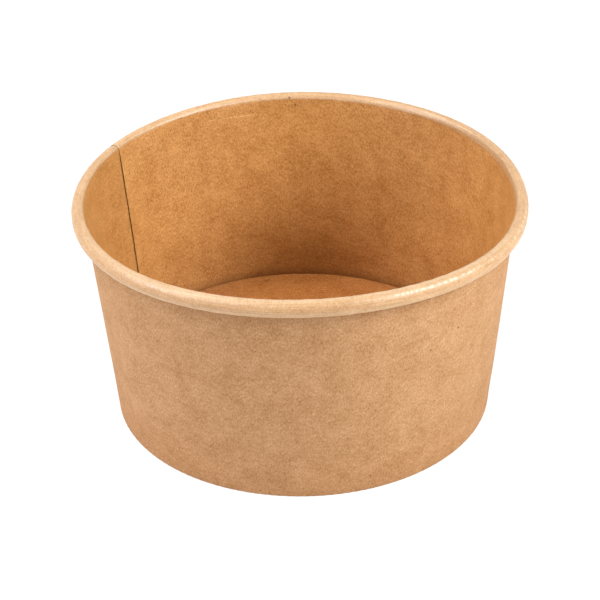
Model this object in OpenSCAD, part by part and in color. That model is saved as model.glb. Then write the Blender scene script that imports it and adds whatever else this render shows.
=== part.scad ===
// Kraft salad bowl in two pieces of paperboard, as the real one is made.
// The side wall is a fan-shaped blank wrapped into a cone and glued along a lap.
// Its top edge is rolled outward into the rim, its bottom edge is turned inward as a hem.
// The base disc is pressed with a skirt that the wall and the hem hold between them.
// Millimetres, +Z up, origin at the centre of the foot on the plane that it stands on.

/* [Bowl] */
// Diameter over the rolled rim
rim_d = 150; // [140:1:180]
// Diameter of the wall's outside, where it meets the standing plane
foot_d = 128; // [100:1:136]
// Height from the standing plane to the top of the rim
bowl_h = 78; // [45:1:120]

/* [Board] */
// Thickness of the side wall's board
wall_t = 0.42; // [0.3:0.02:0.5]
// Thickness of the base disc's board
base_t = 0.42; // [0.3:0.02:0.5]
// Glue line between the skirt and the board on each side of it
fit_gap = 0.03; // [0.02:0.01:0.08]

/* [Rim] */
// Width of the rolled rim
curl_w = 4.3; // [4:0.1:6]
// Height of the rolled rim
curl_h = 5.7; // [4.6:0.1:8]
// How far the rolled edge runs on past one full turn, in degrees
curl_past = 20; // [5:5:45]
// Clear space between the tucked edge and the wall behind it
curl_gap = 0.12; // [0.06:0.02:0.3]
// How far the inner shoulder of the roll stands out of an ellipse, as a share of its radius
shoulder = 0.12; // [0:0.01:0.14]

/* [Base] */
// Height of the base disc's upper face above the standing plane
base_z = 8.9; // [7.8:0.1:16]
// Outside radius of the bend between the disc and its skirt
base_bend_r = 1; // [0.7:0.05:1.4]
// Height of the turned-in hem above the standing plane
hem_h = 6.4; // [3:0.1:6.8]
// Space between the skirt's lower edge and the fold that carries it
skirt_gap = 0.3; // [0.1:0.05:1]
// Inside radius of the two corners of the foot's fold
fold_r = 0.1; // [0.06:0.02:0.2]

/* [Seam] */
// Direction of the raw edge that shows inside the bowl, counted from +X towards +Y
seam_angle = 150.5; // [0:0.5:359]
// Width of the glued lap, along the foot
lap_w = 8; // [4:0.5:16]
// Length over which the outer layer climbs behind the inner one
ramp_w = 2; // [1:0.25:4]
// How far the sealing press sinks each face of the lap
lap_press = 0.01; // [0.005:0.005:0.03]

/* [Hidden] */

kraft_outside = "#c9955f";
kraft_inside = "#b97a43";

// Facets of a full turn
$fn = 180;
// Steps along the rolled rim and along each small bend
curl_steps = 44;
bend_steps = 8;
// Steps of the climb of the outer layer, each far thinner than the board
ramp_steps = 6;

// Least rise, as a share of its length, of a board whose end is cut level
least_rise = 0.3;

// How far each stretch of the wall runs into the next, in degrees
join_deg = 0.05;

// Angles of the lap and of the climb, measured at the foot
lap_deg = 360 * lap_w / (PI * foot_d);
ramp_deg = 360 * ramp_w / (PI * foot_d);
step_deg = ramp_deg / ramp_steps;

// Half axes and centre of the rolled rim's outline
curl_a = curl_w / 2;
curl_b = curl_h / 2;
curl_c = [rim_d / 2 - curl_a, bowl_h - curl_b];

// The wall's food side is the line from foot_pt that touches the rolled rim's outline
foot_pt = [foot_d / 2 - wall_t, 0];
foot_seen = [(foot_pt[0] - curl_c[0]) / curl_a, (foot_pt[1] - curl_c[1]) / curl_b];
curl_start = 360 + atan2(foot_seen[1], foot_seen[0]) - acos(1 / norm(foot_seen));
curl_pt = curl_c + [curl_a * cos(curl_start), curl_b * sin(curl_start)];
wall_lean = atan2(curl_pt[0] - foot_pt[0], curl_pt[1] - foot_pt[1]);

// The rolled edge draws in by this much, to pass inside the two layers of board at the lap
curl_tuck = 2 * wall_t + curl_gap;
curl_end = curl_start - 360 - curl_past;

// Angles of the roll between which its edge draws in
tuck_from = 0;
tuck_to = -160;

// Width of the slot that holds the skirt
slot_w = base_t + 2 * fit_gap;

// Radius of the wall's food side at height z, less a distance square to the wall
function wall_r(z, inset = 0) = foot_pt[0] + z * tan(wall_lean) - inset / cos(wall_lean);

// Points of an arc about a centre, both ends included
function arc(c, r, from, to, steps) =
    [for (i = [0 : steps]) let (a = from + (to - from) * i / steps) c + r * [cos(a), sin(a)]];

// Smooth step from 0 to 1 as x goes from 0 to 1
function ease(x) = let (u = min(max(x, 0), 1)) u * u * (3 - 2 * u);

// Swell of the roll between the wall and its top, as a factor of its radius
function swell(a) = a < 90 ? 1 : 1 + shoulder * pow(sin(180 * (curl_start - a) / (curl_start - 90)), 2);

// Point of the rolled rim at an angle: an ellipse that swells at its inner shoulder
// and draws in as its edge is tucked
function curl_at(a) =
    let (inset = curl_tuck * ease((tuck_from - a) / (tuck_from - tuck_to)))
    curl_c + swell(a) * [(curl_a - inset) * cos(a), (curl_b - inset) * sin(a)];

// Direction from one point to the next, turned a quarter to the right
function right_of(p, q) = let (d = (q - p) / norm(q - p)) [d[1], -d[0]];

// Sideways step at the end of a path: raw edges are cut level, the end of a level board upright
function edge_step(n) = abs(n[0]) > least_rise ? [1 / n[0], 0] : [0, 1 / n[1]];

// Sideways step at a corner between two stretches of a path
function corner_step(n1, n2) = (n1 + n2) / (1 + n1 * n2);

// Path moved sideways by d, to the right of its direction
function shifted(path, d) =
    let (last = len(path) - 1, n = [for (i = [0 : last - 1]) right_of(path[i], path[i + 1])])
    [for (i = [0 : last])
        path[i] + d * (i == 0 ? edge_step(n[0])
            : i == last ? edge_step(n[last - 1])
            : corner_step(n[i - 1], n[i]))];

function reversed(path) = [for (i = [len(path) - 1 : -1 : 0]) path[i]];

// Path kept above a level, as board pressed flat on a table is
function above(path, level) = [for (p = path) [p[0], max(p[1], level)]];

// Outline of a board whose upper or food side is a path
function board(path, thick) = concat(path, reversed(shifted(path, thick)));

// Food side of the side wall, from the hem's raw edge round the fold and up to the tucked edge
fold_z = wall_t + fold_r;
hem_pt = [wall_r(hem_h, slot_w), hem_h];
fold_in = [wall_r(fold_z, slot_w - fold_r), fold_z];
fold_out = [wall_r(fold_z, fold_r), fold_z];
wall_path = concat(
    [hem_pt],
    arc(fold_in, fold_r, 180 - wall_lean, 270, bend_steps / 2),
    arc(fold_out, fold_r, 270, 360 - wall_lean, bend_steps / 2),
    [for (i = [0 : curl_steps]) curl_at(curl_start + (curl_end - curl_start) * i / curl_steps)]
);

// Upper side of the base disc, from its centre round the bend to the skirt's raw edge
bend_c = [wall_r(base_z - base_bend_r, fit_gap + base_bend_r), base_z - base_bend_r];
skirt_z = wall_t + skirt_gap;
base_path = concat(
    [[0, base_z]],
    arc(bend_c, base_bend_r, 90, -wall_lean, bend_steps),
    [[wall_r(skirt_z, fit_gap), skirt_z]]
);

// Least thickness to which the fold is pressed under the foot
pressed_t = wall_t / 4;

// Outline of the wall's board between two distances from its food side, pressed flat under the foot
function wall_board(near, far) = concat(
    above(shifted(wall_path, near), pressed_t),
    reversed(above(shifted(wall_path, far), 0))
);

// Stretch of the wall that turns from one angle to another, counted from the raw edge inside
module wall_stretch(from, to, near, far) {
    rotate_extrude(start = from, angle = to - from, convexity = 8)
        polygon(wall_board(near, far));
}

// Side wall: one wrapped sheet, which climbs behind its other end and doubles it along the lap
module side_wall() {
    color(kraft_outside)
    rotate([0, 0, seam_angle]) {
        wall_stretch(ramp_deg - join_deg, 360 - lap_deg + join_deg, 0, wall_t);
        wall_stretch(-lap_deg, 0, lap_press, 2 * wall_t - lap_press);
        for (i = [1 : ramp_steps]) {
            lift = wall_t * ease(i / ramp_steps);
            from = ramp_deg - i * step_deg;
            wall_stretch(from - join_deg, from + step_deg, lift, lift + wall_t);
        }
    }
}

// Base disc: a pressed disc with its edge turned down into the slot of the foot
module base_disc() {
    color(kraft_inside)
    rotate_extrude(convexity = 4)
        polygon(board(base_path, base_t));
}

side_wall();
base_disc();
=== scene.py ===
"""Kraft salad bowl: a paperboard wall wrapped into a cone, and a base disc pressed into its foot.

The wall is one closed sheet. It is rolled outward into the rim, turned inward round the foot,
and glued to itself along a lap, where the inner end's raw edge shows inside the bowl.
Metres, +Z up, origin at the centre of the foot on the plane that the bowl stands on.
"""
import math

import bpy
import numpy as np
from mathutils import Matrix, Vector


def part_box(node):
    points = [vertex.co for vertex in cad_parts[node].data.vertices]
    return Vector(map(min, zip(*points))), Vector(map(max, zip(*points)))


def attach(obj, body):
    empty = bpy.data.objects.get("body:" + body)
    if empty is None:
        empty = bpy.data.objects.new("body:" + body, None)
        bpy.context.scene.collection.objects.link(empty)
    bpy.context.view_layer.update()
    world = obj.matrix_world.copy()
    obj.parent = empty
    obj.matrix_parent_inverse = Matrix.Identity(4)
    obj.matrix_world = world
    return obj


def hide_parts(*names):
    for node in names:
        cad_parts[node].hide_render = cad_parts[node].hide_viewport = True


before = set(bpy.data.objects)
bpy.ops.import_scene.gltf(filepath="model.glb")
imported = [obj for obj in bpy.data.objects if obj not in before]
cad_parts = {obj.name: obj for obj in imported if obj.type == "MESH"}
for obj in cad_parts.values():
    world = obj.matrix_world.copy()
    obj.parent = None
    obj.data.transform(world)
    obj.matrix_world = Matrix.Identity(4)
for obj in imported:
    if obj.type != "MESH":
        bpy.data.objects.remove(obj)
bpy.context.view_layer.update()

MM = 0.001

# Main sizes, from the frame
WALL_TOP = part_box("side_wall")[1]
BASE_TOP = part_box("base_disc")[1]
RIM_R = WALL_TOP.x
BOWL_H = WALL_TOP.z
BASE_Z = BASE_TOP.z

# Board and foot
BOARD_T = 0.42 * MM
FOOT_R = 64 * MM
FIT_GAP = 0.03 * MM
FOLD_R = 0.1 * MM
HEM_H = 6.4 * MM
BASE_BEND_R = 1 * MM
SKIRT_GAP = 0.3 * MM

# Rolled rim
CURL_W = 4.3 * MM
CURL_H = 5.7 * MM
CURL_TUCK = 2 * BOARD_T + 0.12 * MM
CURL_PAST = 20
TUCK_FROM = 0
TUCK_TO = -160
CURL_TOP = 90
CURL_SEEN_TO = -110

# Inner corner of the roll: how square it is in front and at the back, how sharply it goes into
# the wall's line, and the sine of the place round the bowl where the back's form begins, with
# the sine over which it takes the place of the front's
SQUARENESS = 4.0
SQUARENESS_BEHIND = 2.2
CORNER_BLEND = 80
BEHIND_FROM = 0.2
BEHIND_OVER = 0.6

# Glued lap: the raw edge's direction, and angles round the bowl from it, in degrees
SEAM_ANGLE = 150.5
LAP = math.degrees(8 * MM / FOOT_R)
CLIMB = math.degrees(2 * MM / FOOT_R)
THINNING = 1.5
GLUE = 0.03 * MM

# Share of its thickness that each layer of the lap keeps, on the wall, the foot's fold and the
# rim, and the lengths of sheet over which one goes over into the next
WALL_PRESS = 1.0
FOOT_PRESS = 0.5
RIM_PRESS = 0.36
PRESS_CHANGE = 4 * MM
RIM_PRESS_LEAD = 3 * MM

# Least rise, as a share of its length, of a board whose end is cut level
LEAST_RISE = 0.3

# Steps along each part of the sheet's section, the number of steps that the roll's outside
# takes as one, and the steps of the stations round the bowl, in degrees
HEM_STEPS = 4
BEND_STEPS = 5
BASE_BEND_STEPS = 8
WALL_STEPS = 15
SHOULDER_STEPS = 20
CURL_SEEN_STEPS = 22
CURL_HIDDEN_STEPS = 9
FAR_SKIP = 3
STATION = 0.5
FINE_STATION = 0.15
BASE_STATIONS = 480
BASE_RINGS = 22

# Places in the list of where each part of the wall's section starts
FOLD, WALL, CURL = 1, 3, 4

# Kinds of face of a board: its food side or upper side, the other side, and the raw edges
NEAR_FACE, FAR_FACE, EDGE_FACE = 0, 1, 2

# How the stacked, handled bowl is out of true, in millimetres up and outward: waves round the
# rim by their number in a turn, each with the heights of its cosine and its sine
RIM_LIFT = {
    0: (0.10, 0),
    1: (0, 0.12),
    2: (-1.11, -0.02),
    3: (-0.16, 0.42),
    4: (0.04, 0.15),
    5: (-0.04, 0.11),
}
RIM_PUSH = {
    0: (0.22, 0),
    2: (0.57, 0.07),
    3: (-0.13, 0.09),
    4: (-0.05, 0.03),
}

# How far the base disc was pressed out of level, at its edge
BASE_TILT = 0.67 * MM

# Where the rim's paler colour, partly stretched coating and partly painted sheen, starts past the
# curl's start, as waves in millimetres
PALE_START = {0: (0.4, 0), 1: (-0.8, 0.1)}
PALE_RAMP = 0.7

# Painted shade on the wall's food side above the base disc, at the back of the bowl: its height,
# and its place and spread in degrees
DARK_HEIGHT = 22 * MM
DARK_AT = 92
DARK_SPREAD = 36

# Width of the band of painted shade under the rolled rim, where the board's outside is a little
# darker
DARK_BELOW_RIM = 8 * MM

# Height over which the board's outside takes painted shade at the foot, a little darker
DARK_FOOT = 15 * MM

# Small relief of the board: its seed, its height, the range of waves in a turn, the steepest
# slope of the waves in radians per metre of sheet, and how many random waves make it up
WALL_WAVE = (3, 0.10 * MM, (5, 16), 60, 24)
RIM_WAVE = (5, 0.02 * MM, (30, 90), 500, 40)
WRINKLE = (7, 0.008 * MM, (110, 210), 250, 60)
BASE_WAVE = (11, 0.08 * MM, (2, 7), 90, 24)

# Lengths of sheet over which the relief of the wall and of the rim starts
WALL_WAVE_START = 12 * MM
RIM_WAVE_LEAD = 1.5 * MM
RIM_WAVE_START = 3 * MM

# Knurls that the crimping wheels press into the hem and the skirt of the disc
KNURLS = 144
HEM_KNURL = 0.06 * MM
HEM_KNURL_SLOPE = 900
HEM_KNURL_END = 1 * MM
SKIRT_KNURL = 0.02 * MM
SKIRT_KNURL_REACH = 5 * MM
SKIRT_KNURL_START = 2 * MM

# The disc's own waves start at its middle and are gone at its pressed edge
BASE_WAVE_START = 12 * MM
BASE_FLAT_FROM = 0.75 * FOOT_R
BASE_FLAT_OVER = 0.2 * FOOT_R

# Angle between two faces past which the edge between them is shown sharp
SHARP_ANGLE = 42

# Camera: how far it stands from the bowl's middle, how high it looks from, and where it aims
VIEW_DISTANCE = 782.9 * MM
VIEW_ELEVATION = 31.03
VIEW_PAN = -0.70 * MM
VIEW_TILT = -2.96 * MM
VIEW_ROLL = -1.07
SENSOR = 36
LENS = 138.2
VIEW_CLIP = (0.05, 20)

# White floor: its half width, how far it lies under the foot, its grey for plain light, and the
# grey that takes the shadow and the glow under it where the backdrop itself is seen
FLOOR_REACH = 3.0
FLOOR_DROP = -0.02 * MM
FLOOR_GREY = (0.8, 0.8, 0.8, 1)
SHADOW_GREY = (0.3, 0.3, 0.3, 1)
FLOOR_GLOW = 0.7
WHITE = (1, 1, 1, 1)
WORLD_SOFT = 0.02
WORLD_SEEN = 1.0

# Square lamps, all as large and as far away: azimuth from behind the camera towards its right,
# elevation, watts and colour
LAMP_DISTANCE = 0.9
LAMP_SIZE = 0.5
LAMPS = {
    "key_right": (66, 33, 11.2, (1.0, 1.04, 1.03)),
    "right_high": (72, 56, 0.9, (1.0, 1.04, 1.05)),
    "left_low": (-74, 28, 5.1, (1.0, 1.07, 1.15)),
    "left_high": (-80, 58, 4.5, (1.0, 0.93, 0.87)),
    "back_left": (-110, 56, 3.9, (1.0, 0.98, 0.95)),
    "front_left": (-36, 14, 1.2, (1.0, 0.96, 0.94)),
    "front_right": (40, 12, 1.4, (1.0, 1.0, 0.98)),
}


def ease(x):
    """Smooth step from 0 to 1 as x goes from 0 to 1."""
    u = np.clip(x, 0, 1)
    return u * u * (3 - 2 * u)


def arc(centre, radius, start, end, steps):
    """Points of an arc about a centre in the section plane, both ends included."""
    a = np.radians(np.linspace(start, end, steps + 1))
    return np.array(centre) + radius * np.c_[np.cos(a), np.sin(a)]


def right_normals(path):
    """Sideways step of length one at each point of a path, mitred at its corners."""
    d = np.diff(path, axis=0)
    d /= np.linalg.norm(d, axis=1)[:, None]
    n = np.c_[d[:, 1], -d[:, 0]]
    first, last = n[:-1], n[1:]
    corners = (first + last) / (1 + (first * last).sum(1))[:, None]
    start = [1 / n[0, 0], 0] if abs(n[0, 0]) > LEAST_RISE else [0, 1 / n[0, 1]]
    end = [1 / n[-1, 0], 0]
    return np.vstack([start, corners, end])


def arc_length(path):
    """Length of a path up to each of its points."""
    return np.r_[0, np.cumsum(np.linalg.norm(np.diff(path, axis=0), axis=1))]


class Section:
    """Food side of the bowl's wall in the plane of radius and height, as in the frame."""

    def __init__(self, squareness):
        self.squareness = squareness
        self.half = np.array([CURL_W, CURL_H]) / 2
        self.centre = np.array([RIM_R, BOWL_H]) - self.half
        foot = np.array([FOOT_R - BOARD_T, 0])
        seen = (foot - self.centre) / self.half
        away = math.acos(1 / np.linalg.norm(seen))
        self.start = 360 + math.degrees(math.atan2(seen[1], seen[0]) - away)
        reach = self.curl_at(self.start) - foot
        self.lean = math.atan2(reach[0], reach[1])
        self.foot = foot

    def curl_at(self, angle):
        """Point of the rolled rim: an ellipse with a fuller inner corner, which ends tucked."""
        inset = CURL_TUCK * float(ease((TUCK_FROM - angle) / (TUCK_FROM - TUCK_TO)))
        a = math.radians(angle)
        way = np.array([math.cos(a), math.sin(a)])
        return self.centre + self.swell(angle, way) * (self.half - inset) * way

    def swell(self, angle, way):
        """Factor that fills the inner corner of the roll, between the wall's line and its top."""
        if angle <= CURL_TOP or angle >= self.start:
            return 1.0
        n = self.squareness
        dome = (abs(way[0]) ** n + way[1] ** n) ** (-1 / n)
        first = math.radians(self.start)
        wall = 1 / (way @ np.array([math.cos(first), math.sin(first)]))
        blend = (wall ** -CORNER_BLEND + dome ** -CORNER_BLEND) ** (-1 / CORNER_BLEND)
        return max(1.0, blend)

    def wall_r(self, z, inset=0):
        """Radius of the food side at height z, less a distance square to the wall."""
        return self.foot[0] + z * math.tan(self.lean) - inset / math.cos(self.lean)

    def wall_path(self):
        """Hem's raw edge, fold, wall and rolled rim, with the index at which each part starts."""
        lean = math.degrees(self.lean)
        slot = BOARD_T + 2 * FIT_GAP
        low = BOARD_T + FOLD_R
        inner = arc([self.wall_r(low, slot - FOLD_R), low], FOLD_R, 180 - lean, 270, BEND_STEPS)
        outer = arc([self.wall_r(low, FOLD_R), low], FOLD_R, 270, 360 - lean, BEND_STEPS)
        hem = np.linspace([self.wall_r(HEM_H, slot), HEM_H], inner[0], HEM_STEPS + 1)
        inside = np.linspace(self.start, CURL_TOP, SHOULDER_STEPS + 1)
        seen = np.linspace(CURL_TOP, CURL_SEEN_TO, CURL_SEEN_STEPS + 1)
        hidden = np.linspace(CURL_SEEN_TO, self.start - 360 - CURL_PAST, CURL_HIDDEN_STEPS + 1)
        curl = np.array([self.curl_at(a) for a in [*inside, *seen[1:], *hidden[1:]]])
        wall = np.linspace(outer[-1], curl[0], WALL_STEPS + 1)
        parts = [hem[:-1], inner, outer, wall[1:-1], curl]
        starts = np.cumsum([0] + [len(p) for p in parts])
        return np.vstack(parts), starts

    def base_path(self):
        """Upper side of the base disc, round the bend and down the skirt."""
        c = [self.wall_r(BASE_Z - BASE_BEND_R, FIT_GAP + BASE_BEND_R), BASE_Z - BASE_BEND_R]
        bend = arc(c, BASE_BEND_R, 90, -math.degrees(self.lean), BASE_BEND_STEPS)
        low = BOARD_T + SKIRT_GAP
        skirt = np.linspace(bend[-1], [self.wall_r(low, FIT_GAP), low], HEM_STEPS + 1)
        disc = np.linspace([0, BASE_Z], bend[0], BASE_RINGS + 1)
        return np.vstack([disc[:-1], bend, skirt[1:]])


SECTION = Section(SQUARENESS)
ROUND_SECTION = Section(SQUARENESS_BEHIND)


def ripple(relief, angle, path):
    """Smooth random relief over the angle round the bowl and a length of the sheet's path."""
    seed, height, around, along, terms = relief
    rng = np.random.default_rng(seed)
    total = np.zeros(np.broadcast(angle, path).shape)
    for _ in range(terms):
        count = rng.integers(around[0], around[1] + 1)
        slope = rng.uniform(-along, along)
        phase = rng.uniform(0, 2 * math.pi)
        total += np.cos(count * angle + slope * path + phase)
    return total * math.sqrt(2 / terms) * height


def waves(terms, turn):
    """Sum of waves round the bowl, from pairs for cosine and sine by number of waves."""
    return sum(c * np.cos(n * turn) + s * np.sin(n * turn) for n, (c, s) in terms.items())


def out_of_true(points):
    """Points moved by the waves round the rim, which fade to nothing at the foot."""
    x, y, z = points[..., 0], points[..., 1], points[..., 2]
    turn = np.arctan2(y, x)
    radius = np.hypot(x, y)
    share = np.clip(z / BOWL_H, 0, None) ** 2
    scale = 1 + waves(RIM_PUSH, turn) * MM * share / radius
    return np.stack([x * scale, y * scale, z + waves(RIM_LIFT, turn) * MM * share], axis=-1)


def make_piece(name, points, faces, kinds, sheet, roll, materials):
    """Mesh object with its place on the flat sheet and a material for each kind of face.

    roll has the share of the rolled rim's visible turn that a point has behind it, how far it is
    past the start of the rim's paler colour, and how much painted shade the board takes near the
    disc or under the rim, less than nothing standing for the foot.
    """
    mesh = bpy.data.meshes.new(name)
    mesh.from_pydata(points.tolist(), [], faces)
    for material in materials:
        mesh.materials.append(material)
    mesh.polygons.foreach_set("material_index", kinds)
    place = mesh.attributes.new("sheet", "FLOAT_VECTOR", "POINT")
    place.data.foreach_set("vector", sheet.astype(np.float32).ravel())
    rolled = mesh.attributes.new("roll", "FLOAT_VECTOR", "POINT")
    rolled.data.foreach_set("vector", roll.astype(np.float32).ravel())
    mesh.shade_smooth()
    mesh.set_sharp_from_angle(angle=math.radians(SHARP_ANGLE))
    mesh.validate()
    piece = bpy.data.objects.new(name, mesh)
    bpy.context.scene.collection.objects.link(piece)
    return piece


def ladder(near, far):
    """Triangles between two rising rows of values, as index pairs (row, index)."""
    rungs = []
    a = b = 0
    while a < len(near) - 1 or b < len(far) - 1:
        if b == len(far) - 1 or (a < len(near) - 1 and near[a + 1] <= far[b + 1]):
            rungs.append(((0, a), (0, a + 1), (1, b)))
            a += 1
        else:
            rungs.append(((0, a), (1, b + 1), (1, b)))
            b += 1
    return rungs


def lap_press(place, starts, length):
    """Share of its thickness that a layer of the lap keeps at each point of the path."""
    fold_end = length[starts[WALL]]
    curl_start = length[starts[CURL]]
    fold = 1 - ease((place - fold_end) / PRESS_CHANGE)
    curl = ease((place - curl_start + RIM_PRESS_LEAD) / PRESS_CHANGE)
    return WALL_PRESS + (FOOT_PRESS - WALL_PRESS) * fold + (RIM_PRESS - WALL_PRESS) * curl


def wall_relief(turn, place, starts, length):
    """Distance that the sheet stands off its true section, towards its outside."""
    curl_start = length[starts[CURL]]
    on_wall = ease((place - length[starts[WALL]]) / WALL_WAVE_START)
    on_curl = ease((place - curl_start + RIM_WAVE_LEAD) / RIM_WAVE_START)
    on_hem = 1 - ease((place - length[starts[FOLD]]) / HEM_KNURL_END)
    wave = ripple(WALL_WAVE, turn, place) * on_wall * (1 - on_curl)
    roll = ripple(RIM_WAVE, turn, place) * on_curl
    wrinkle = ripple(WRINKLE, turn, place) * on_curl
    knurl = np.cos(KNURLS * turn + HEM_KNURL_SLOPE * place) * HEM_KNURL * on_hem
    return wave + roll + wrinkle + knurl


def wall_sheet(materials):
    """The wrapped wall, from the raw edge inside the bowl round to the one behind it."""
    path, starts = SECTION.wall_path()
    normal = right_normals(path)
    length = arc_length(path)
    curl = starts[CURL]
    keep = [*range(curl), *range(curl, len(path) - 1, FAR_SKIP), len(path) - 1]
    climb_from = 360 - CLIMB
    end = 360 + LAP
    fine = np.arange(climb_from, 360 + FINE_STATION, FINE_STATION)
    before = np.linspace(0, climb_from, round(climb_from / STATION) + 1)
    after = np.linspace(fine[-1], end, round((end - fine[-1]) / STATION) + 1)
    station = np.r_[before, fine[1:], after[1:]]

    # Each station has the food side's points, and then the outside's from the tucked edge back
    index = np.r_[np.arange(len(path)), keep[::-1]]
    is_far = np.arange(len(index)) >= len(path)
    u = station[:, None]
    place = length[index][None, :]
    press = lap_press(place, starts, length)
    inner = 1 - ease((u - LAP) / THINNING)
    climbed = ease((u - climb_from) / CLIMB)
    doubled = np.maximum(inner, climbed)
    thick = BOARD_T * (1 + doubled * (press - 1)) - doubled * GLUE / 2
    lift = climbed * (press * BOARD_T + GLUE / 2)
    turn = np.radians(SEAM_ANGLE - u)
    offset = lift + np.where(is_far, thick, 0) + wall_relief(turn, place, starts, length)
    behind = ease((np.sin(turn) - BEHIND_FROM) / BEHIND_OVER)[..., None]
    rounder = ROUND_SECTION.wall_path()[0] - path
    flat = path[index] + behind * rounder[index] + normal[index] * offset[..., None]
    radius, height = flat[..., 0], np.maximum(flat[..., 1], 0)
    points = np.stack([radius * np.cos(turn), radius * np.sin(turn), height], axis=-1)
    points = out_of_true(points)

    count = len(index)
    rows = len(station)
    kind_of = np.where(is_far, FAR_FACE, NEAR_FACE)
    kind_of[len(path) - 1] = kind_of[-1] = EDGE_FACE
    i, j = np.meshgrid(np.arange(rows - 1), np.arange(count), indexing="ij")
    k = (j + 1) % count
    this, following = i * count, (i + 1) * count
    quads = np.stack([this + j, following + j, following + k, this + k], axis=-1)
    faces = quads.reshape(-1, 4).tolist()
    kinds = kind_of[j].ravel().tolist()
    spot = [np.arange(len(path)), count - 1 - np.arange(len(keep))]
    for rung in ladder(length, length[keep]):
        corners = [int(spot[row][at]) for row, at in rung]
        faces.append(corners)
        faces.append([(rows - 1) * count + c for c in reversed(corners)])
        kinds += [EDGE_FACE, EDGE_FACE]

    around = np.radians(u) * RIM_R + 0 * place
    sheet = np.stack([around, place + 0 * u, np.where(is_far, 1.0, 0.0) + 0 * u], axis=-1)
    seen_end = length[starts[CURL] + SHOULDER_STEPS + CURL_SEEN_STEPS]
    curl_start = length[starts[CURL]]
    share = np.clip((place - curl_start) / (seen_end - curl_start), 0, 1) + 0 * u
    # Start of the rim's paler colour, partly stretched coating and partly painted sheen
    pale = (place - curl_start - waves(PALE_START, turn) * MM) / (PALE_RAMP * MM)
    # Painted shade: on the food side above the disc at the back, and on the outside under the rim,
    # and, as less than nothing, at the foot
    climbed_foot = place - length[starts[WALL]]
    side = np.abs(np.angle(np.exp(1j * (turn - math.radians(DARK_AT)))))
    near_dark = ease(1 - side / math.radians(DARK_SPREAD))
    low = (1 - ease((climbed_foot - BASE_Z) / DARK_HEIGHT)) * near_dark
    shaded = 1 - ease((curl_start - place) / DARK_BELOW_RIM)
    foot = 1 - ease(climbed_foot / DARK_FOOT)
    dark = np.where(is_far, shaded - foot, low) + 0 * u
    roll = np.stack([share, pale, dark], axis=-1).reshape(-1, 3)
    piece = make_piece("side_wall_board", points.reshape(-1, 3), faces, kinds,
                       sheet.reshape(-1, 3), roll, materials)
    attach(piece, "root")
    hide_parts("side_wall")
    return piece


def base_sheet(materials):
    """The base disc, pressed with a skirt that stands in the slot of the foot."""
    path = SECTION.base_path()
    normal = right_normals(path)
    length = arc_length(path)
    turn = np.linspace(0, 2 * math.pi, BASE_STATIONS, endpoint=False)[:, None]
    far = slice(None, 0, -1)
    index = np.arange(len(path))
    loop = np.r_[index[1:], index[far]]
    is_far = np.arange(len(loop)) >= len(path) - 1
    place = length[loop][None, :]
    flatness = 1 - ease((place - BASE_FLAT_FROM) / BASE_FLAT_OVER)
    relief = ripple(BASE_WAVE, turn, place) * flatness * ease(place / BASE_WAVE_START)
    on_skirt = ease((place - length[-1] + SKIRT_KNURL_REACH) / SKIRT_KNURL_START)
    knurl = np.cos(KNURLS * turn) * SKIRT_KNURL * on_skirt
    offset = np.where(is_far, BOARD_T, 0) + relief - np.abs(knurl) * np.where(is_far, 1, 0)
    flat = path[loop][None] + normal[loop][None] * offset[..., None]
    # The tilted edge stays against the wall, which leans outward
    tilt = -BASE_TILT * np.cos(turn) * flat[..., 0] / FOOT_R * ease(flat[..., 1] / BASE_Z)
    radius = flat[..., 0] + tilt * math.tan(SECTION.lean) * ease(flat[..., 0] / FOOT_R)
    points = np.stack([radius * np.cos(turn), radius * np.sin(turn), flat[..., 1] + tilt], axis=-1)
    poles = np.array([[0, 0, BASE_Z], [0, 0, BASE_Z - BOARD_T]])
    sheet = np.stack([place * np.cos(turn), place * np.sin(turn), 2.0 + is_far + 0 * turn], axis=-1)
    pole_sheet = np.array([[0, 0, 2], [0, 0, 3]])

    count = len(loop)
    i, j = np.meshgrid(np.arange(BASE_STATIONS), np.arange(count - 1), indexing="ij")
    k = (i + 1) % BASE_STATIONS
    quads = np.stack([i * count + j, i * count + j + 1, k * count + j + 1, k * count + j], axis=-1)
    kind_of = np.where(is_far, FAR_FACE, NEAR_FACE)
    kind_of[len(path) - 2] = EDGE_FACE
    faces = quads.reshape(-1, 4).tolist()
    kinds = kind_of[j].ravel().tolist()
    top = BASE_STATIONS * count
    for i in range(BASE_STATIONS):
        k = (i + 1) % BASE_STATIONS
        faces.append([top, i * count, k * count])
        faces.append([top + 1, k * count + count - 1, i * count + count - 1])
        kinds += [NEAR_FACE, FAR_FACE]

    corners = np.vstack([points.reshape(-1, 3), poles])
    sheet = np.vstack([sheet.reshape(-1, 3), pole_sheet])
    roll = np.zeros((len(corners), 3))
    piece = make_piece("base_disc_board", corners, faces, kinds, sheet, roll, materials)
    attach(piece, "root")
    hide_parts("base_disc")
    return piece


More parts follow.
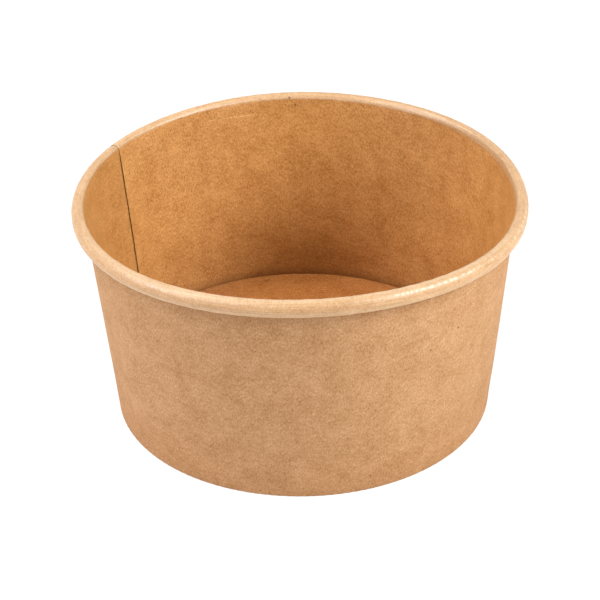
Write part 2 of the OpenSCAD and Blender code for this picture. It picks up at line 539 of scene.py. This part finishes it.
class Graph:
    """Short forms for building a node tree."""

    def __init__(self, owner):
        owner.use_nodes = True
        self.tree = owner.node_tree
        self.tree.nodes.clear()

    def node(self, kind, inputs=(), **settings):
        made = self.tree.nodes.new(kind)
        for name, value in settings.items():
            setattr(made, name, value)
        for name, value in dict(inputs).items():
            if isinstance(value, bpy.types.NodeSocket):
                self.tree.links.new(value, made.inputs[name])
            else:
                made.inputs[name].default_value = value
        return made

    def math(self, operation, a, b=0.0, clamp=False):
        made = self.node("ShaderNodeMath", {0: a, 1: b}, operation=operation, use_clamp=clamp)
        return made.outputs[0]

    def stretch(self, vector, scale, turn=0.0, shift=0.0):
        made = self.node("ShaderNodeMapping", {
            "Vector": vector, "Scale": scale,
            "Rotation": (0, 0, turn), "Location": (shift, shift, 0)})
        return made.outputs[0]

    def noise(self, vector, scale, detail=2.0, roughness=0.5, distortion=0.0):
        made = self.node("ShaderNodeTexNoise", {"Vector": vector, "Scale": scale, "Detail": detail,
                                                "Roughness": roughness, "Distortion": distortion})
        return made.outputs[0]

    def range(self, value, low, high, to_low=0.0, to_high=1.0):
        made = self.node("ShaderNodeMapRange", {"Value": value, "From Min": low, "From Max": high,
                                                "To Min": to_low, "To Max": to_high})
        return made.outputs[0]

    def band(self, value, rise, full, fall, end):
        """One between full and fall, and nothing before rise and past end."""
        up = self.range(value, rise, full)
        down = self.range(value, fall, end, 1.0, 0.0)
        return self.math("MULTIPLY", up, down)

    def mix(self, share, first, second, blend="MIX"):
        made = self.node("ShaderNodeMix", {0: share, 6: first, 7: second},
                         data_type="RGBA", blend_type=blend, clamp_factor=True)
        return made.outputs[2]

    def tint(self, share, colour, factor):
        """Colour multiplied by a factor where share is one."""
        return self.mix(share, colour, self.mix(1.0, colour, factor, "MULTIPLY"))

    def vector_of(self, attribute):
        return self.node("ShaderNodeAttribute", attribute_name=attribute).outputs["Vector"]


def linear(red, green, blue):
    """Linear colour of an sRGB one from 0 to 255."""
    def one(v):
        v /= 255
        return v / 12.92 if v <= 0.04045 else ((v + 0.055) / 1.055) ** 2.4
    return (one(red), one(green), one(blue), 1.0)


# How far the grain moves red, green and blue from the board's mean colour, as shares of it
GRAIN = (0.33, 0.47, 0.72)

# Tone of the board: noises from clouds down to single fibres, each with the stretch, turn and
# shift of the sheet under it, its scale, detail, roughness and distortion, and its weight
TONES = [
    (((1, 1, 1), 0.0, 0.0), (110, 3.0, 0.55, 0.6), 0.75),
    (((1, 1, 1), 0.0, 0.0), (330, 3.0, 0.6, 0.3), 0.45),
    (((0.6, 1, 1), 0.9, 0.2), (1100, 2.0, 0.6, 0.4), 0.5),
    (((1, 0.6, 1), 0.4, 0.5), (1900, 1.0, 0.6, 0.4), 1.4),
]
ROLL_CONTRAST = 0.55

# Strands: the scale, turn and shift of each set of pale ones and of dark ones
PALE_STRANDS = [(820, 0.5, 0.1), (760, -0.6, 0.3), (800, 1.6, 0.7)]
DARK_STRANDS = [(840, 0.1, 0.9), (800, -1.2, 0.4)]
STRAND_STRETCH = (0.45, 1, 1)
STRAND_WIDTH = 0.06
STRAND_NOISE = (1.0, 0.5, 0.6)
STRAND_BREAKS = 0.8
STRAND_BROKEN = (0.48, 0.6)
STRAND_TONE = 0.18

# Streaks that the rolling tool drew along the rim
STREAK = linear(240, 205, 160)
STREAK_STRETCH = ((0.03, 1, 1), 0.0, 0.6)
STREAK_NOISE = (2600, 2.0, 0.6)
STREAK_LEVELS = (0.45, 0.7)
STREAK_SHARE = 0.18

# Colour of the rolled rim, as a factor: paler partly from its stretched coating and partly as
# painted sheen of its gloss
STRETCHED_AND_SHEEN = (0.94, 1.20, 2.08, 1.0)

# Painted highlight on the rim's inner ridge, in front only, and painted light from the floor
# below on its lower lip, as factors, with the shares of the turn and the metres along the sheet
# that they cover; the middle of the turn is made a little browner
RIDGE_HIGHLIGHT = (1.13, 1.25, 1.42, 1.0)
RIDGE_HIGHLIGHT_TURN = (0.20, 0.26, 0.33, 0.42)
RIDGE_HIGHLIGHT_ALONG = (0.20, 0.25, 0.38, 0.43)
LIP_LIGHT = (1.26, 1.29, 1.36, 1.0)
LIP_LIGHT_TURN = (0.69, 0.82, 0.95, 0.99)
BROWNED = (1.0, 0.94, 0.86, 1.0)
BROWNED_TURN = (0.48, 0.56, 0.64, 0.72)

# Painted glints, white spots for a lamp's highlight broken on the rim's wrinkled coating: shares of
# the turn, and metres along the sheet. The spots are dense there, and elsewhere they come in the
# patches of a second noise
GLINT = linear(255, 250, 238)
GLINT_TURN = (0.42, 0.45, 0.48, 0.53)
GLINT_ALONG = (0.236, 0.25, 0.28, 0.292)
GLINT_STRETCH = ((1, 0.4, 1), 0.0, 0.8)
GLINT_NOISE = (900, 1.0)
GLINT_LEVELS = (0.47, 0.64)
ELSEWHERE_STRETCH = ((1, 0.2, 1), 0.0, 0.3)
ELSEWHERE_NOISE = (28, 1.0)
ELSEWHERE_LEVELS = (0.5, 0.62, 0.0, 0.6)
GLINT_SHARE = 0.24

# Scuff inside the back of the wall: its slope and height on the sheet, and where it runs
SCUFF_SLOPE = 0.0436
SCUFF_START = 80.69 * MM
SCUFF_ALONG = (0.038, 0.043, 0.058, 0.066)
SCUFF_ACROSS = (-0.3 * MM, -0.1 * MM, 0.1 * MM, 0.3 * MM)
SCUFF_NOISE = (300, 1.0)
SCUFF_LEVELS = (0.35, 0.55, 0.1, 0.35)

# Shade of the crease between the wall and the disc, and where up the sheet it fades
CREASE = (0.66, 0.60, 0.48, 1.0)
CREASE_ALONG = (0.0145, 0.0185)

# Painted light: the food side from the seam's end round towards the back of the bowl is a little
# paler, where the key lamp falls inside
PAINTED_LIGHT = (1.10, 1.12, 1.16, 1.0)
PAINTED_LIGHT_ALONG = (-0.002, 0.0, 0.046, 0.082)

# Small dark flecks: cells in a metre of sheet, the fleck's edge as a distance in its cell, the
# share of the cells without one, and how dark it is
FLECK = linear(70, 44, 26)
FLECK_STRETCH = ((1, 1.3, 1), 0.6)
FLECK_CELLS = 75.0
FLECK_EDGE = (0.02, 0.045, 1.0, 0.0)
FLECK_NONE = 0.87
FLECK_SHARE = 0.75

# Larger dark flecks, as a place on the sheet with its side, and a radius
LARGE_FLECK_SHARE = 0.85
LARGE_FLECK_STRETCH = (1, 0.8, 1)
OUTSIDE_FLECKS = [((0.3952, 0.0574, 1), 0.35 * MM), ((0.3321, 0.0078, 1), 0.3 * MM),
                  ((0.2677, 0.0562, 1), 0.4 * MM), ((0.2548, 0.0603, 1), 0.5 * MM),
                  ((0.2364, 0.0693, 1), 0.4 * MM), ((0.2897, 0.0119, 1), 0.35 * MM)]
INSIDE_FLECKS = [((0.0035, 0.0724, 0), 0.4 * MM), ((0.0171, 0.0298, 0), 0.35 * MM),
                 ((0.0780, 0.0806, 0), 0.4 * MM), ((0.0758, 0.0834, 0), 0.5 * MM)]
BASE_FLECKS = [((-0.0133, 0.0581, 2), 0.4 * MM), ((-0.0126, 0.0588, 2), 0.4 * MM),
               ((-0.0119, 0.0595, 2), 0.4 * MM)]

# Painted shade, as colour factors: on the wall above the base disc, and on its outside at the
# foot and under the rim
LOW = (0.68, 0.61, 0.46, 1.0)
FOOT = (0.99, 0.95, 0.90, 1.0)
SHADE_UNDER_RIM = (0.80, 0.78, 0.79, 1.0)

# Fine relief of the board, with the weights of its pulp, strands and wrinkles, and its gloss
PULP_RELIEF = 0.5
STRAND_RELIEF = 0.05
WRINKLE_RELIEF = 9.0
WRINKLE_STRETCH = (1, 0.3, 1)
WRINKLE_NOISE = (480, 3.0, 0.6)
BUMP_STRENGTH = 0.4
BUMP_HEIGHT = 0.04 * MM
GLOSS = 0.35
COAT_ROUGHNESS = 0.3


def strands(g, sheet, scale, turn, shift):
    """Thin curling fibres that lie mostly one way: level lines of a noise, broken by another."""
    field = g.stretch(sheet, STRAND_STRETCH, turn, shift)
    level = g.math("ABSOLUTE", g.math("SUBTRACT", g.noise(field, scale, *STRAND_NOISE), 0.5))
    line = g.range(level, 0.0, STRAND_WIDTH, 1.0, 0.0)
    broken = g.range(g.noise(field, STRAND_BREAKS * scale, 1.0), *STRAND_BROKEN)
    return g.math("MULTIPLY", line, broken)


def all_strands(g, sheet, sets):
    """Several sets of strands together."""
    whole = strands(g, sheet, *sets[0])
    for one in sets[1:]:
        whole = g.math("MAXIMUM", whole, strands(g, sheet, *one))
    return whole


def painted_glints(g, sheet, x, turned):
    """Painted glints: white spots along the rim, where a lamp's highlight breaks on the wrinkled
    coating.
    """
    spot = g.range(g.noise(g.stretch(sheet, *GLINT_STRETCH), *GLINT_NOISE), *GLINT_LEVELS)
    spot = g.math("MULTIPLY", spot, g.band(turned, *GLINT_TURN))
    here = g.noise(g.stretch(sheet, *ELSEWHERE_STRETCH), *ELSEWHERE_NOISE)
    here = g.range(here, *ELSEWHERE_LEVELS)
    spot = g.math("MULTIPLY", spot, g.math("MAXIMUM", here, g.band(x, *GLINT_ALONG)))
    return g.math("MULTIPLY", spot, GLINT_SHARE)


def scuff_line(g, sheet, x, y, inside):
    """Faint scuff inside the back of the wall."""
    line = g.math("SUBTRACT", g.math("ADD", y, g.math("MULTIPLY", x, SCUFF_SLOPE)), SCUFF_START)
    scuff = g.math("MULTIPLY", g.band(line, *SCUFF_ACROSS), g.band(x, *SCUFF_ALONG))
    scuff = g.math("MULTIPLY", scuff, g.range(g.noise(sheet, *SCUFF_NOISE), *SCUFF_LEVELS))
    return g.math("MULTIPLY", scuff, inside)


def dark_flecks(g, sheet, large):
    """Dark flecks in some cells of the board, with the larger ones at their places."""
    field = g.stretch(sheet, *FLECK_STRETCH)
    cell = g.node("ShaderNodeTexVoronoi", {"Vector": field, "Scale": FLECK_CELLS})
    near = g.range(cell.outputs["Distance"], *FLECK_EDGE)
    draw = g.node("ShaderNodeSeparateColor", {0: cell.outputs["Color"]}).outputs[0]
    some = g.math("GREATER_THAN", draw, FLECK_NONE)
    fleck = g.math("MULTIPLY", g.math("MULTIPLY", near, some), FLECK_SHARE)
    field = g.stretch(sheet, LARGE_FLECK_STRETCH)
    for at, size in large:
        middle = tuple(a * b for a, b in zip(at, LARGE_FLECK_STRETCH))
        away = g.node("ShaderNodeVectorMath", {0: field, 1: middle}, operation="DISTANCE")
        shown = g.range(away.outputs["Value"], 0.5 * size, size, LARGE_FLECK_SHARE, 0.0)
        fleck = g.math("MAXIMUM", fleck, shown)
    return fleck


def kraft(name, mean, grain, roughness, coat, shaded, flecks):
    """Kraft board: clouds and blotches of pulp, fibres, specks and a few dark flecks.

    The rolled rim is paler, partly where the coating was stretched and partly as painted sheen,
    with streaks along and across it. Painted shade, light, highlights and glints are laid on by
    place.
    """
    material = bpy.data.materials.new(name)
    g = Graph(material)
    sheet = g.vector_of("sheet")
    turned, past, shade = g.node("ShaderNodeSeparateXYZ", {0: g.vector_of("roll")}).outputs
    x, y, side = g.node("ShaderNodeSeparateXYZ", {0: sheet}).outputs
    on_roll = g.range(past, 0.0, 1.0)
    inside = g.math("LESS_THAN", side, 0.5)

    # Tone from 0, dark, to 1, light
    layers = [g.noise(g.stretch(sheet, *placing), *noise) for placing, noise, weight in TONES]
    tone = 0.5
    for layer, (placing, noise, weight) in zip(layers, TONES):
        tone = g.math("ADD", tone, g.math("MULTIPLY", g.math("SUBTRACT", layer, 0.5), weight))
    pale = all_strands(g, sheet, PALE_STRANDS)
    strand = g.math("SUBTRACT", pale, all_strands(g, sheet, DARK_STRANDS))
    tone = g.math("ADD", tone, g.math("MULTIPLY", strand, STRAND_TONE), clamp=True)
    contrast = g.range(on_roll, 0.0, 1.0, 1.0, ROLL_CONTRAST)
    tone = g.math("ADD", 0.5, g.math("MULTIPLY", g.math("SUBTRACT", tone, 0.5), contrast))
    light = tuple(c * (1 + grain * k) for c, k in zip(mean, GRAIN)) + (1.0,)
    dark = tuple(c * (1 - grain * k) for c, k in zip(mean, GRAIN)) + (1.0,)
    colour = g.mix(tone, dark, light)

    # Paler rim, partly stretched coating and partly painted sheen; painted shade and light by place
    colour = g.tint(on_roll, colour, STRETCHED_AND_SHEEN)
    # Painted shade above the disc at the back, and under the rim
    colour = g.tint(shade, colour, shaded)
    crease = g.math("MULTIPLY", inside, g.range(y, *CREASE_ALONG, 1.0, 0.0))
    colour = g.tint(crease, colour, CREASE)
    # Painted light inside the back of the bowl, from the seam's end
    end = g.math("MULTIPLY", g.band(x, *PAINTED_LIGHT_ALONG), inside)
    colour = g.tint(end, colour, PAINTED_LIGHT)
    # Painted shade on the outside at the foot, against the floor's bounced light
    colour = g.tint(g.range(shade, 0.0, -1.0), colour, FOOT)
    # Painted highlight on the roll's inner corner, in front
    ridge_highlight = g.math("MULTIPLY", g.band(turned, *RIDGE_HIGHLIGHT_TURN), g.band(x, *RIDGE_HIGHLIGHT_ALONG))
    colour = g.tint(ridge_highlight, colour, RIDGE_HIGHLIGHT)
    colour = g.tint(g.band(turned, *BROWNED_TURN), colour, BROWNED)
    # Painted light from the floor below on the roll's lower lip
    colour = g.tint(g.band(turned, *LIP_LIGHT_TURN), colour, LIP_LIGHT)

    # Marks of making and use, and painted glints on the rim
    streak = g.range(g.noise(g.stretch(sheet, *STREAK_STRETCH), *STREAK_NOISE), *STREAK_LEVELS)
    streak = g.math("MULTIPLY", streak, on_roll)
    colour = g.mix(g.math("MULTIPLY", streak, STREAK_SHARE), colour, STREAK)
    colour = g.mix(painted_glints(g, sheet, x, turned), colour, GLINT)
    colour = g.mix(scuff_line(g, sheet, x, y, inside), colour, STREAK)
    colour = g.mix(dark_flecks(g, sheet, flecks), colour, FLECK)

    wrinkle = g.noise(g.stretch(sheet, WRINKLE_STRETCH), *WRINKLE_NOISE)
    wrinkle = g.math("MULTIPLY", wrinkle, on_roll)
    pulp = g.math("MULTIPLY", layers[1], PULP_RELIEF)
    relief = g.math("ADD", pulp, g.math("MULTIPLY", strand, STRAND_RELIEF))
    relief = g.math("ADD", relief, g.math("MULTIPLY", wrinkle, WRINKLE_RELIEF))
    bump = g.node("ShaderNodeBump",
                  {"Height": relief, "Strength": BUMP_STRENGTH, "Distance": BUMP_HEIGHT})
    surface = g.node("ShaderNodeBsdfPrincipled", {
        "Base Color": colour, "Roughness": roughness, "Normal": bump.outputs[0],
        "Specular IOR Level": GLOSS, "Coat Weight": coat, "Coat Roughness": COAT_ROUGHNESS,
        "Coat Normal": bump.outputs[0]})
    g.node("ShaderNodeOutputMaterial", {"Surface": surface.outputs[0]})
    return material


def lamp(name, azimuth, elevation, power, colour):
    """Square soft light that faces the bowl; azimuth 0 is behind the camera, 90 its right."""
    data = bpy.data.lights.new(name, "AREA")
    data.shape = "SQUARE"
    data.size = LAMP_SIZE
    data.energy = power
    data.color = colour
    light = bpy.data.objects.new(name, data)
    a, e = math.radians(azimuth), math.radians(elevation)
    away = Vector((math.sin(a) * math.cos(e), -math.cos(a) * math.cos(e), math.sin(e)))
    light.location = Vector((0, 0, BOWL_H / 2)) + away * LAMP_DISTANCE
    light.rotation_mode = "QUATERNION"
    light.rotation_quaternion = away.to_track_quat("Z", "Y")
    bpy.context.scene.collection.objects.link(light)
    return light


def backdrop_rays(g):
    """One for the rays that see the backdrop itself: from the camera, a gloss or a glass."""
    path = g.node("ShaderNodeLightPath")
    seen = g.math("MAXIMUM", path.outputs["Is Camera Ray"], path.outputs["Is Glossy Ray"])
    return g.math("MAXIMUM", seen, path.outputs["Is Transmission Ray"])


def studio():
    """White backdrop, white floor that keeps the bowl's shadow, and soft lights."""
    world = bpy.data.worlds.new("studio")
    bpy.context.scene.world = world
    g = Graph(world)
    soft = g.node("ShaderNodeBackground", {"Color": WHITE, "Strength": WORLD_SOFT})
    white = g.node("ShaderNodeBackground", {"Color": WHITE, "Strength": WORLD_SEEN})
    both = g.node("ShaderNodeMixShader",
                  {0: backdrop_rays(g), 1: soft.outputs[0], 2: white.outputs[0]})
    g.node("ShaderNodeOutputWorld", {"Surface": both.outputs[0]})

    mesh = bpy.data.meshes.new("floor")
    signs = [(-1, -1), (1, -1), (1, 1), (-1, 1)]
    corners = [(x * FLOOR_REACH, y * FLOOR_REACH, FLOOR_DROP) for x, y in signs]
    mesh.from_pydata(corners, [], [(0, 1, 2, 3)])
    floor = bpy.data.objects.new("floor", mesh)
    bpy.context.scene.collection.objects.link(floor)
    paint = bpy.data.materials.new("floor_white")
    g = Graph(paint)
    matt = g.node("ShaderNodeBsdfDiffuse", {"Color": FLOOR_GREY})
    shadow = g.node("ShaderNodeBsdfDiffuse", {"Color": SHADOW_GREY})
    glow = g.node("ShaderNodeEmission", {"Color": WHITE, "Strength": FLOOR_GLOW})
    lifted = g.node("ShaderNodeAddShader", {0: shadow.outputs[0], 1: glow.outputs[0]})
    seen = g.node("ShaderNodeMixShader",
                  {0: backdrop_rays(g), 1: matt.outputs[0], 2: lifted.outputs[0]})
    back = g.node("ShaderNodeNewGeometry").outputs["Backfacing"]
    open_below = g.node("ShaderNodeBsdfTransparent")
    whole = g.node("ShaderNodeMixShader", {0: back, 1: seen.outputs[0], 2: open_below.outputs[0]})
    g.node("ShaderNodeOutputMaterial", {"Surface": whole.outputs[0]})
    mesh.materials.append(paint)

    for name, (azimuth, elevation, power, colour) in LAMPS.items():
        lamp(name, azimuth, elevation, power, colour)


def camera():
    """The photograph's view, from in front and above."""
    data = bpy.data.cameras.new("camera")
    data.sensor_fit = "HORIZONTAL"
    data.sensor_width = SENSOR
    data.lens = LENS
    data.clip_start, data.clip_end = VIEW_CLIP
    lens = bpy.data.objects.new("camera", data)
    e = math.radians(VIEW_ELEVATION)
    middle = BOWL_H / 2
    eye = Vector((0, -VIEW_DISTANCE * math.cos(e), middle + VIEW_DISTANCE * math.sin(e)))
    forward = (Vector((VIEW_PAN, 0, middle + VIEW_TILT)) - eye).normalized()
    side = forward.cross(Vector((0, 0, 1))).normalized()
    up = side.cross(forward)
    roll = math.radians(VIEW_ROLL)
    x = side * math.cos(roll) + up * math.sin(roll)
    y = up * math.cos(roll) - side * math.sin(roll)
    turn = Matrix((x, y, -forward)).transposed()
    lens.matrix_world = Matrix.Translation(eye) @ turn.to_4x4()
    bpy.context.scene.collection.objects.link(lens)
    bpy.context.scene.camera = lens


bpy.context.scene.view_settings.view_transform = "Standard"
camera()
studio()

# Each face of the board has a mean colour, a strength of grain and its own gloss: the food side
# is coated, and the outside and the raw edge are bare; the raw edge's dark brown is partly its own
# and partly painted shade of the gap beside it
food_side = kraft("kraft_food_side", mean=(0.418, 0.192, 0.0545), grain=1.08, roughness=0.5,
                  coat=0.4, shaded=LOW, flecks=INSIDE_FLECKS)
outside = kraft("kraft_outside", mean=(0.355, 0.183, 0.080), grain=0.87, roughness=0.85,
                coat=0.0, shaded=SHADE_UNDER_RIM, flecks=OUTSIDE_FLECKS)
base_side = kraft("kraft_base", mean=(0.415, 0.164, 0.040), grain=1.2, roughness=0.5,
                  coat=0.4, shaded=LOW, flecks=BASE_FLECKS)
raw_edge = kraft("kraft_raw_edge", mean=(0.125, 0.064, 0.026), grain=1.0, roughness=0.9,
                 coat=0.0, shaded=SHADE_UNDER_RIM, flecks=[])
wall_sheet([food_side, outside, raw_edge])
base_sheet([base_side, outside, raw_edge])
